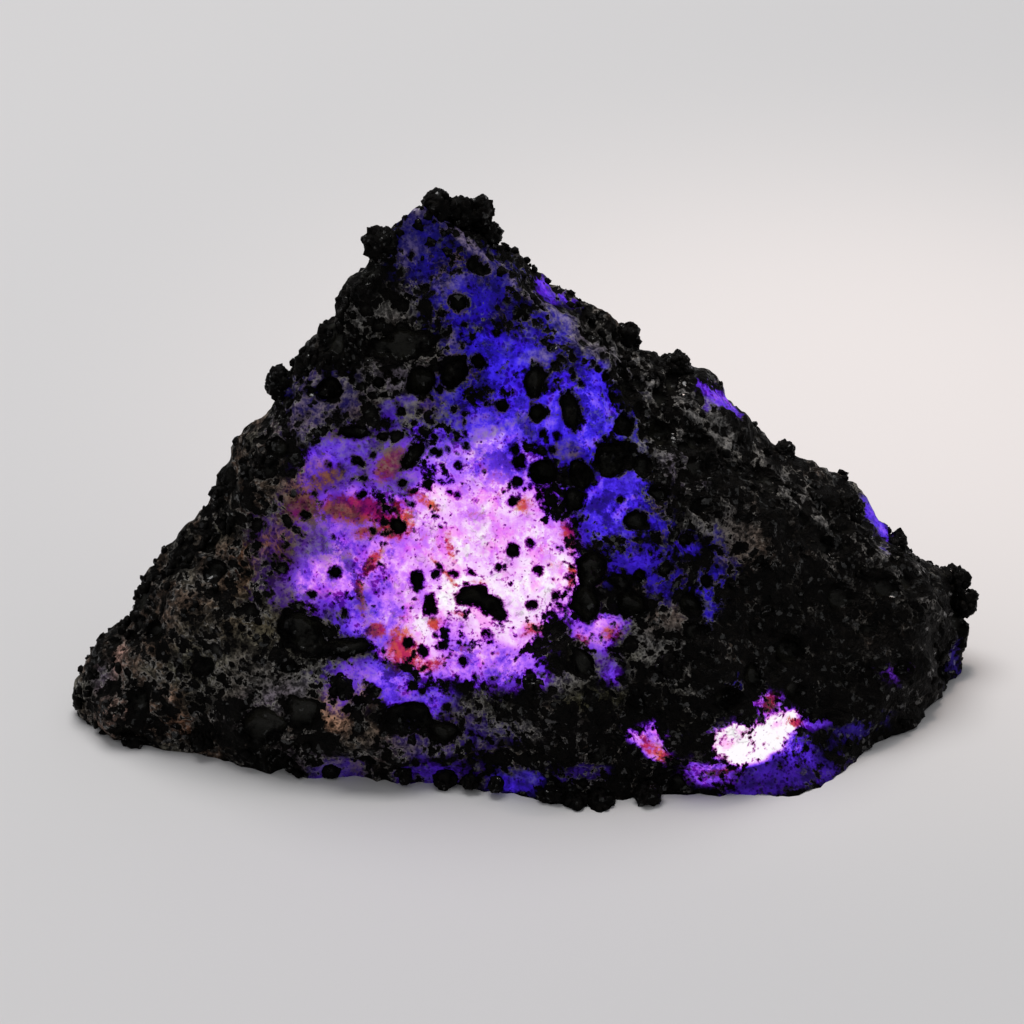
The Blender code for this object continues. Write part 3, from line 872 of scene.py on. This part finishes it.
class Wiring:
    """Short ways to add and link the nodes of a material or group."""

    def __init__(self, tree):
        self.tree = tree

    def node(self, kind, inputs=None, **settings):
        made = self.tree.nodes.new(kind)
        for name, value in settings.items():
            setattr(made, name, value)
        for name, value in (inputs or {}).items():
            self.feed(made.inputs[name], value)
        return made

    def feed(self, socket, value):
        if isinstance(value, Signal):
            self.tree.links.new(value.socket, socket)
        else:
            socket.default_value = value

    def add(self, kind, output, inputs=None, **settings):
        return Signal(self, self.node(kind, inputs, **settings).outputs[output])

    def read(self, name, output="Fac"):
        return self.add("ShaderNodeAttribute", output, attribute_name=name)

    def work(self, operation, one, two=0.0):
        return self.add("ShaderNodeMath", 0, {0: one, 1: two}, operation=operation)

    def larger(self, one, two):
        return self.work("MAXIMUM", one, two)

    def noise(self, where, size, detail=4.0, rough=0.6, output="Fac"):
        inputs = {"Vector": where, "Scale": 1.0 / (size * MM), "Detail": detail, "Roughness": rough}
        return self.add("ShaderNodeTexNoise", output, inputs)

    def cells(self, where, scale):
        """How far the nearest of scattered spots is, and that spot's own colour."""
        made = self.node("ShaderNodeTexVoronoi", {"Vector": where, "Scale": scale})
        return Signal(self, made.outputs["Distance"]), Signal(self, made.outputs["Color"])

    def mix(self, share, one, two, blend="MIX"):
        inputs = {0: share, 6: one, 7: two}
        return self.add("ShaderNodeMix", 2, inputs, data_type="RGBA", blend_type=blend)

    def bent(self, where, size, reach):
        """The place moved by noise, up to about half of reach each way, so that round cells look torn."""
        shift = self.noise(where, size, 3.0, output="Color")
        shift = self.add("ShaderNodeVectorMath", 0, {0: shift, 1: (0.5, 0.5, 0.5)}, operation="SUBTRACT")
        shift = self.add("ShaderNodeVectorMath", 0, {0: shift, "Scale": reach * MM}, operation="SCALE")
        return self.add("ShaderNodeVectorMath", 0, {0: where, 1: shift}, operation="ADD")

    def bump(self, height, strength, depth):
        inputs = {"Height": height, "Strength": strength, "Distance": depth * MM}
        return self.add("ShaderNodeBump", "Normal", inputs)


def new_material(name):
    material = bpy.data.materials.new(name)
    material.use_nodes = True
    return material, Wiring(material.node_tree), material.node_tree.nodes["Principled BSDF"]


SLAG_COLOURS = [(0.35, (0.0005, 0.0004, 0.0004)), (0.70, (0.004, 0.0032, 0.0026))]
SLAG_SHINE = 0.04
GLINT_ROUGHNESS = 0.12


def black_crust():
    """The crust's own finish: near-black glass, grainy, with a few smooth faces that glint."""
    group = bpy.data.node_groups.new("black_crust", "ShaderNodeTree")
    group.interface.new_socket("Where", in_out="INPUT", socket_type="NodeSocketVector")
    group.interface.new_socket("Grains", in_out="INPUT", socket_type="NodeSocketFloat")
    group.interface.new_socket("Colour", in_out="OUTPUT", socket_type="NodeSocketColor")
    group.interface.new_socket("Glint", in_out="OUTPUT", socket_type="NodeSocketFloat")
    group.interface.new_socket("Height", in_out="OUTPUT", socket_type="NodeSocketFloat")
    wire = Wiring(group)
    taken = wire.node("NodeGroupInput").outputs
    where, grains = Signal(wire, taken["Where"]), Signal(wire, taken["Grains"])
    inputs = {"Vector": where, "Scale": grains, "Detail": 4.0, "Roughness": 0.65}
    grain = wire.add("ShaderNodeTexNoise", "Fac", inputs)
    distance, colour = wire.cells(where, grains)
    glint = colour.parts()[0].ease(0.82, 0.90) * grain.ease(0.48, 0.60)
    given = wire.node("NodeGroupOutput").inputs
    wire.feed(given["Colour"], grain.ramp(SLAG_COLOURS))
    wire.feed(given["Glint"], glint)
    wire.feed(given["Height"], grain * 1.4 - distance * 0.7)
    return group


BLACK_CRUST = black_crust()


def crust_finish(wire, where, grains_per_mm):
    """The colour, glint and height of the black crust at a place."""
    made = wire.node("ShaderNodeGroup", node_tree=BLACK_CRUST)
    wire.feed(made.inputs["Where"], where)
    wire.feed(made.inputs["Grains"], grains_per_mm / MM)
    return [Signal(wire, made.outputs[name]) for name in ("Colour", "Glint", "Height")]


# What the torch looks like through bare sapphire, from no light to full light, where the stone lets
# violet and pink through and where it lets only blue through.
VIOLET_LIGHT = [
    (0.0, (0.0, 0.0, 0.0)),
    (0.10, (0.020, 0.004, 0.075)),
    (0.20, (0.075, 0.015, 0.28)),
    (0.32, (0.17, 0.040, 0.70)),
    (0.46, (0.43, 0.12, 0.93)),
    (0.59, (0.68, 0.22, 0.98)),
    (0.71, (0.84, 0.40, 0.98)),
    (0.82, (0.94, 0.66, 1.0)),
    (1.0, (1.0, 0.97, 1.0)),
]
BLUE_LIGHT = [
    (0.0, (0.0, 0.0, 0.0)),
    (0.12, (0.005, 0.003, 0.090)),
    (0.25, (0.014, 0.005, 0.36)),
    (0.42, (0.045, 0.020, 0.86)),
    (0.70, (0.24, 0.13, 1.0)),
    (1.0, (0.9, 0.80, 1.0)),
]
# What the light passes through on its way out: pink patches, rust, the edges of holes, and specks.
PINK = (1.0, 0.54, 0.94, 1.0)
RUST = [(0.42, (0.56, 0.04, 0.11)), (0.58, (0.74, 0.21, 0.05))]
HOLE_EDGE = [(0.0, (1.0, 1.0, 1.0)), (0.45, (0.78, 0.42, 0.75)), (1.0, (0.16, 0.015, 0.10))]
SPECK = (0.34, 0.07, 0.38, 1.0)
# No light at all, the ash's uneven shade, the pale rims of holes, and the glassy floors of large ones.
DARK = (0.0, 0.0, 0.0, 1.0)
ASH_SHADE = [(0.3, (0.5, 0.5, 0.5)), (0.7, (1.7, 1.7, 1.7))]
PALE_RIM = (0.27, 0.255, 0.235, 1.0)
GLASSY_FLOOR = (0.012, 0.0115, 0.0085, 1.0)


def torn_holes(wire, bent, fine, hue, tornness):
    """How far inside a hole places are, and how far inside a speck: above 0 is inside.

    The mesh's own holes have frayed rims. Holes of two more sizes and specks are cells of noise, wider
    and more numerous towards whole crust. Specks are smaller in the hot middle.
    """
    frayed = fine - 0.5
    ring = wire.read("hole_margin") * 1.5 + frayed * 1.2
    for size, few, many in ((1.25, -0.25, 0.60), (0.62, -0.10, 0.62)):
        distance, colour = wire.cells(bent, 1.0 / (size * MM))
        reach = tornness.ease(-0.60, 0.35, few, many) * colour.parts()[0].ease(0.0, 1.0, 0.30, 1.30)
        ring = wire.larger(ring, reach - distance + frayed * 0.8)
    distance, _ = wire.cells(bent, 1.0 / (0.30 * MM))
    reach = tornness.ease(-0.60, 0.35, 0.10, 0.60) + hue.ease(0.48, 0.62, 0.0, 0.25)
    speck = reach * wire.read("torch_light").ease(0.60, 1.0, 1.0, 0.55) - distance
    return ring, speck


def torch_glow(wire, light, fine, clump, hue, veil, near_hole, speck):
    """The colour of the light that comes out: each layer that it passes takes some of it away."""
    glow = wire.mix(wire.read("blueness"), (light * 0.8).ramp(VIOLET_LIGHT), light.ramp(BLUE_LIGHT))
    glow = wire.mix(hue.ease(0.50, 0.66), glow, PINK, "MULTIPLY")
    rust = wire.read("rust") + (veil - 0.5) * 0.3 + (fine - 0.5) * 1.6
    glow = wire.mix(rust.ease(0.08, 0.65), glow, clump.ramp(RUST), "MULTIPLY")
    glow = wire.mix(1.0, glow, near_hole.ramp(HOLE_EDGE), "MULTIPLY")
    return wire.mix(speck.ease(-0.16, 0.12), glow, SPECK, "MULTIPLY")


def crusted_sapphire():
    """Sapphire lit from inside, under black crust and a thin torn skin of ash."""
    material, wire, shader = new_material("crusted_sapphire")
    material.cycles.emission_sampling = "NONE"  # the glow is too dim to light anything else
    where = wire.add("ShaderNodeTexCoord", "Object")
    bent = wire.bent(where, 0.7, 0.6)
    fine = wire.noise(where, 0.42, 4.0, 0.65)
    patch, clump, hue = wire.noise(where, 1.7, 4.0, 0.62, output="Color").parts()
    veil = wire.noise(where, 2.2, 5.0, 0.72).ease(0.50, 0.62)
    margin = wire.read("crust_margin") + ((fine - 0.5) * 0.9 + (patch - 0.5) * 1.2)
    ash_edge = wire.read("ash") + (clump - 0.5) * 1.6
    ash = ash_edge.ease(0.05, 0.60)

    tornness = margin - ash * 0.45 + (clump - 0.5) * 0.8
    ring, speck = torn_holes(wire, bent, fine, hue, tornness)
    near_hole = ring.ease(-0.30, 0.05)
    rim = ring.ease(-0.22, -0.08) * clump.ease(0.42, 0.60)
    vein = wire.work("ABSOLUTE", wire.noise(bent, 1.5, 2.0) - 0.5)
    vein = vein.ease(0.0, 0.028, 1.0, 0.0) * clump.ease(0.44, 0.58)

    # Clouds in the stone and its skin make the light uneven, and less so in the hot middle.
    torch = wire.read("torch_light")
    cloud = patch.ease(0.30, 0.70, 0.60, 1.30) * veil.ease(0.0, 1.0, 1.18, 0.64)
    cloud = cloud * fine.ease(0.30, 0.70, 0.72, 1.2)
    cloud = (cloud - 1.0) * torch.ease(0.5, 1.0, 1.0, 0.4) + 1.0
    light = torch * cloud * near_hole.ease(0.0, 1.0, 1.0, 0.6) * margin.ease(-0.4, 0.4, 1.0, 0.45)
    glow = torch_glow(wire, light, fine, clump, hue, veil, near_hole, speck)
    glow = wire.mix(wire.larger(ring.ease(-0.03, 0.05), margin.ease(0.20, 0.42)), glow, DARK)

    # The ash: its patches, partly painted light along the upper right band, and thin pale lines on the
    # rims of holes and along veins.
    lines = wire.larger(rim * 0.8, vein * 0.7)
    lines = lines * ash_edge.ease(-0.50, 0.30, 0.05, 1.0)
    ash = wire.larger(ash * fine.ease(0.36, 0.60, 0.2, 1.0), lines)
    ash = ash * ring.ease(-0.05, 0.03, 1.0, 0.0) * speck.ease(-0.06, 0.03, 1.0, 0.25)
    pale = wire.mix(1.0, wire.read("ash_colour", "Color"), fine.ramp(ASH_SHADE), "MULTIPLY")
    pale = wire.mix(rim * margin.ease(-0.1, 0.3), pale, PALE_RIM)

    # Under the ash lies slag, glassy on the floors of large holes.
    colour, glint, height = crust_finish(wire, where, 2.4)
    smooth = wire.read("hole_margin").ease(0.10, 0.55) * hue.ease(0.42, 0.58)
    glass = wire.mix(smooth, colour, GLASSY_FLOOR)
    shine = wire.larger(glint, smooth * 0.2) * light.ease(0.1, 0.3, 1.0, 0.0)
    height = height * 0.6 + ring.ease(-0.15, 0.35, 1.0, 0.0) + speck.ease(-0.15, 0.2, 0.4, 0.0)

    wire.feed(shader.inputs["Base Color"], wire.mix(ash, glass, pale))
    # The torch's light through the sapphire is painted on as glow: the stone itself is no lamp.
    wire.feed(shader.inputs["Emission Color"], wire.mix(ash * 0.65, glow, DARK))
    shader.inputs["Emission Strength"].default_value = 1.0
    wire.feed(shader.inputs["Roughness"], fine.ease(0.3, 0.7, 0.35, 0.65))
    shader.inputs["Specular IOR Level"].default_value = SLAG_SHINE
    wire.feed(shader.inputs["Coat Weight"], shine)
    shader.inputs["Coat Roughness"].default_value = GLINT_ROUGHNESS
    wire.feed(shader.inputs["Normal"], wire.bump(height, 0.8, 0.14))
    return material


stone_points, stone_faces, stone_ring, stone_finish = finished_stone()
stone = add_mesh("sapphire_stone", stone_points, stone_faces, rest=[stone_ring])
for layer_name, layer_values in stone_finish.items():
    add_values(stone, layer_name, layer_values)
stone.data.materials.append(crusted_sapphire())
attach(stone, "root")
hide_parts("rough_sapphire")


# The knobs: clusters of crumbs of the same black slag that froze on the crust as beads,
# standing out of its edges and hanging round the foot. Each is fused to the stone.

# Knobs of the front, as the eye sees them: (across, up, radius).
KNOBS = [
    (-6, 40.8, 1.1),
    (-4.5, 40.2, 1.2),
    (-3.2, 40.3, 1.1),
    (-2.8, 38.9, 1.1),
    (-9.9, 38.2, 1.2),
    (-14.7, 30.2, 1.05),
    (-16.6, 28.8, 1.15),
    (-20.6, 21.4, 0.85),
    (-29, 9.5, 0.95),
    (-26.3, 4.9, 0.9),
    (-21.8, 5, 0.9),
    (-18.5, 4.1, 0.9),
    (-15.4, 3.2, 0.9),
    (-13.2, 2.9, 0.7),
    (-8.3, 2.7, 0.7),
    (-5.6, 2.4, 0.8),
    (-3.9, 2.2, 0.6),
    (-2.2, 2, 0.6),
    (1.5, 1.3, 0.9),
    (3.2, 0.8, 0.9),
    (4.8, 0.7, 1),
    (8, 1.3, 0.95),
    (28.4, 15.6, 1.2),
    (29.2, 14.2, 1),
    (21.3, 20.3, 1.3),
    (24.6, 18, 1),
    (17, 24.2, 0.9),
    (10, 30, 1.1),
    (6.6, 32, 0.95),
    (0.3, 8.4, 1.1),
    (-12.3, 8.6, 1),
    (9.3, 9.8, 1),
]
# Knobs round the back: (x, z, radius) on the faces that look along +Y.
BACK_KNOBS = [
    (-23, 2.5, 1.2),
    (-15, 15, 1.1),
    (-8, 4, 1.3),
    (-2.5, 26.5, 1.1),
    (4, 3, 1.2),
    (7, 19.5, 1.3),
    (16, 4, 1.3),
    (19, 11, 1.1),
    (26, 5, 1.1),
]
KNOB_SINK = 0.15
BACK_KNOB_SINK = 0.35
CRUMBS_PER_KNOB = 22


def ball_grid(around, down):
    """A unit ball by two angles: its points, its four-cornered faces, and the triangles at its poles."""
    turn = np.arange(around) * (math.tau / around)
    fall = np.arange(1, down) * (math.pi / down)
    rings = np.stack(
        [
            np.outer(np.sin(fall), np.cos(turn)),
            np.outer(np.sin(fall), np.sin(turn)),
            np.repeat(np.cos(fall)[:, None], around, axis=1),
        ],
        axis=-1,
    ).reshape(-1, 3)
    points = np.concatenate([rings, [[0.0, 0.0, 1.0], [0.0, 0.0, -1.0]]])
    near = np.arange(around)
    far = (near + 1) % around
    row = np.arange(down - 2)[:, None] * around
    below = row + around
    walls = np.stack([row + near, below + near, below + far, row + far], axis=-1).reshape(-1, 4)
    top, bottom = len(rings), len(rings) + 1
    last = (down - 2) * around
    cap = np.stack([near, far, np.full(around, top)], axis=1)
    foot = np.stack([last + far, last + near, np.full(around, bottom)], axis=1)
    return points, walls, np.concatenate([cap, foot])


def balls(middles, radii, around, down, bumpiness, bump_size, seed):
    """Many bumpy balls, with each point at middle + radius * way * (1 + bumpiness * noise), or just
    above the table where that is higher."""
    unit, walls, caps = ball_grid(around, down)
    round_points = (middles[:, None, :] + radii[:, None, None] * unit).reshape(-1, 3)
    grow = 1.0 + bumpiness * roughness_of(round_points, bump_size, 3, seed).reshape(len(middles), -1, 1)
    points = (middles[:, None, :] + radii[:, None, None] * unit * grow).reshape(-1, 3)
    points[:, 2] = np.maximum(points[:, 2], 0.02)
    starts = np.arange(len(middles))[:, None, None] * len(unit)
    return points, (walls + starts).reshape(-1, 4), (caps + starts).reshape(-1, 3)


def joined(parts):
    """Meshes given as (points, quads, triangles) as one."""
    starts = np.cumsum([0] + [len(points) for points, _, _ in parts])
    points = np.concatenate([part[0] for part in parts])
    quads = np.concatenate([part[1] + start for part, start in zip(parts, starts)])
    triangles = np.concatenate([part[2] + start for part, start in zip(parts, starts)])
    return points, quads, triangles


def knob_places():
    """Each knob's middle, sunk by a share of its radius under the skin where it is met, and its radius."""
    spots = [(sight_line(across, up), radius, KNOB_SINK) for across, up, radius in KNOBS]
    spots += [(back_line(x, z), radius, BACK_KNOB_SINK) for x, z, radius in BACK_KNOBS]
    middles = []
    for line, radius, sink in spots:
        point, look = first_met(line, lumpy_stone)
        middles.append(point - look * radius * sink)
    return np.array(middles), np.array([radius for _, radius, _ in spots])


def knob_clusters():
    """Each knob: a bumpy core, and crumbs at even odds all round it, half sunk in it."""
    dice = np.random.default_rng(71)
    middles, radii = knob_places()
    core = balls(middles, 0.88 * radii, around=40, down=20, bumpiness=0.36, bump_size=0.7, seed=72)
    ways = dice.normal(size=(len(middles), CRUMBS_PER_KNOB, 3))
    ways /= np.linalg.norm(ways, axis=2, keepdims=True)
    out = 0.74 * radii[:, None, None] * dice.uniform(0.9, 1.12, (len(middles), CRUMBS_PER_KNOB, 1))
    crumb_middles = (middles[:, None, :] + ways * out).reshape(-1, 3)
    crumb_radii = (radii[:, None] * dice.uniform(0.18, 0.40, (len(middles), CRUMBS_PER_KNOB))).ravel()
    kept = crumb_middles[:, 2] > 0.1
    crumb_middles, crumb_radii = crumb_middles[kept], crumb_radii[kept]
    crumbs = balls(crumb_middles, crumb_radii, around=8, down=5, bumpiness=0.50, bump_size=0.38, seed=73)
    return joined([core, crumbs])


def slag():
    """The knobs' and grains' finish: the black crust by itself."""
    material, wire, shader = new_material("black_slag")
    colour, glint, height = crust_finish(wire, wire.add("ShaderNodeTexCoord", "Object"), 3.2)
    wire.feed(shader.inputs["Base Color"], colour)
    wire.feed(shader.inputs["Coat Weight"], glint)
    shader.inputs["Coat Roughness"].default_value = GLINT_ROUGHNESS
    shader.inputs["Roughness"].default_value = 0.5
    shader.inputs["Specular IOR Level"].default_value = SLAG_SHINE
    wire.feed(shader.inputs["Normal"], wire.bump(height, 0.7, 0.12))
    return material


SLAG = slag()
knob_points, knob_quads, knob_caps = knob_clusters()
knobs = add_mesh("crust_knobs", knob_points, knob_quads, rest=knob_caps.tolist())
knobs.data.materials.append(SLAG)
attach(knobs, "root")


# The grains: loose-looking crumbs of slag 0.2 to 1 mm wide that stuck to the crust as it set,
# thickest along the stone's left edge and its ridge.

# Runs of corners along the stone's edges. Nearly all the places that are drawn along the two at its
# foot lie under the table, and are left out.
EDGE_RUNS = [
    ["summit", "left_edge"],
    ["summit", "ridge", "right_end"],
    ["front_foot"],
    ["back_foot"],
]
EDGE_GRAINS = 460
EDGE_SCATTER = 0.9
FACE_GRAINS = 420
GRAIN_RADII = (0.12, 0.36)


def edge_places(count, dice):
    """Places strewn along the runs of corners, with even odds by length, and about 1 mm off them."""
    starts, ends = [], []
    for run in EDGE_RUNS:
        corners = [corner for group in run for corner in CORNERS[group]]
        starts += corners[:-1]
        ends += corners[1:]
    starts, ends = np.array(starts), np.array(ends)
    lengths = np.linalg.norm(ends - starts, axis=1)
    picked = dice.choice(len(starts), count, p=lengths / lengths.sum())
    share = dice.random((count, 1))
    places = starts[picked] * (1.0 - share) + ends[picked] * share
    return places + dice.normal(0.0, EDGE_SCATTER, (count, 3))


def grains():
    """Small bumpy balls: some on the skin near the edges, and some on whole crust clear of its holes.

    Those with their middle less than 0.15 above the table are left out.
    """
    dice = np.random.default_rng(81)
    edge, _ = lumpy_stone(edge_places(EDGE_GRAINS, dice) - HEART)
    whole = (stone_finish["crust_margin"] > 0.15) & (stone_finish["hole_margin"] < -0.05)
    face = stone_points[dice.choice(np.flatnonzero(whole), FACE_GRAINS)]
    middles = np.concatenate([edge, face])
    middles = middles[middles[:, 2] > 0.15]
    radii = dice.uniform(*GRAIN_RADII, len(middles))
    return balls(middles, radii, around=8, down=5, bumpiness=0.65, bump_size=0.38, seed=82)


grain_points, grain_quads, grain_caps = grains()
crust_grains = add_mesh("crust_grains", grain_points, grain_quads, rest=grain_caps.tolist())
crust_grains.data.materials.append(SLAG)
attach(crust_grains, "root")


# The table and the light: a plain pale floor and a soft bright room, with a wide lamp overhead and
# a warm one that shines on the table behind the ridge. None of them is part of the stone.
TABLE_HALF = 1.5


def add_floor():
    mesh = bpy.data.meshes.new("floor")
    corners = [(TABLE_HALF * x, TABLE_HALF * y, 0.0) for x, y in ((-1, -1), (1, -1), (1, 1), (-1, 1))]
    mesh.from_pydata(corners, [], [(0, 1, 2, 3)])
    floor = bpy.data.objects.new("floor", mesh)
    bpy.context.scene.collection.objects.link(floor)
    material, _, shader = new_material("pale_table")
    shader.inputs["Base Color"].default_value = (0.70, 0.69, 0.695, 1.0)
    shader.inputs["Roughness"].default_value = 0.8
    shader.inputs["Specular IOR Level"].default_value = 0.1
    mesh.materials.append(material)


def add_lamp(name, kind, place, aim, energy, colour, **settings):
    lamp = bpy.data.lights.new(name, kind)
    lamp.energy = energy
    lamp.color = colour
    for setting, value in settings.items():
        setattr(lamp, setting, value)
    thing = bpy.data.objects.new(name, lamp)
    place, aim = np.array(place) * MM, np.array(aim) * MM
    thing.location = place
    thing.rotation_euler = pointing(aim - place)
    bpy.context.scene.collection.objects.link(thing)


def pointing(way):
    """The turn that points a lamp's -Z along a way."""
    flat = math.hypot(way[0], way[1])
    return (math.atan2(flat, -way[2]), 0.0, math.atan2(-way[0], way[1]))


add_floor()
add_lamp("overhead", "AREA", (-60, 120, 420), (0, 0, 0), 1.2, (1.0, 0.99, 0.98), shape="DISK", size=0.30)
add_lamp("back_lamp", "SPOT", (40, 90, 260), (24, 40, 0), 0.9, (1.0, 0.80, 0.70), spot_size=0.42,
         spot_blend=1.0, shadow_soft_size=0.02)
room = bpy.data.worlds.new("soft_room")
room.use_nodes = True
room.node_tree.nodes["Background"].inputs["Color"].default_value = (0.97, 0.98, 1.0, 1.0)
room.node_tree.nodes["Background"].inputs["Strength"].default_value = 0.37
bpy.context.scene.world = room
bpy.context.scene.view_settings.view_transform = "Standard"
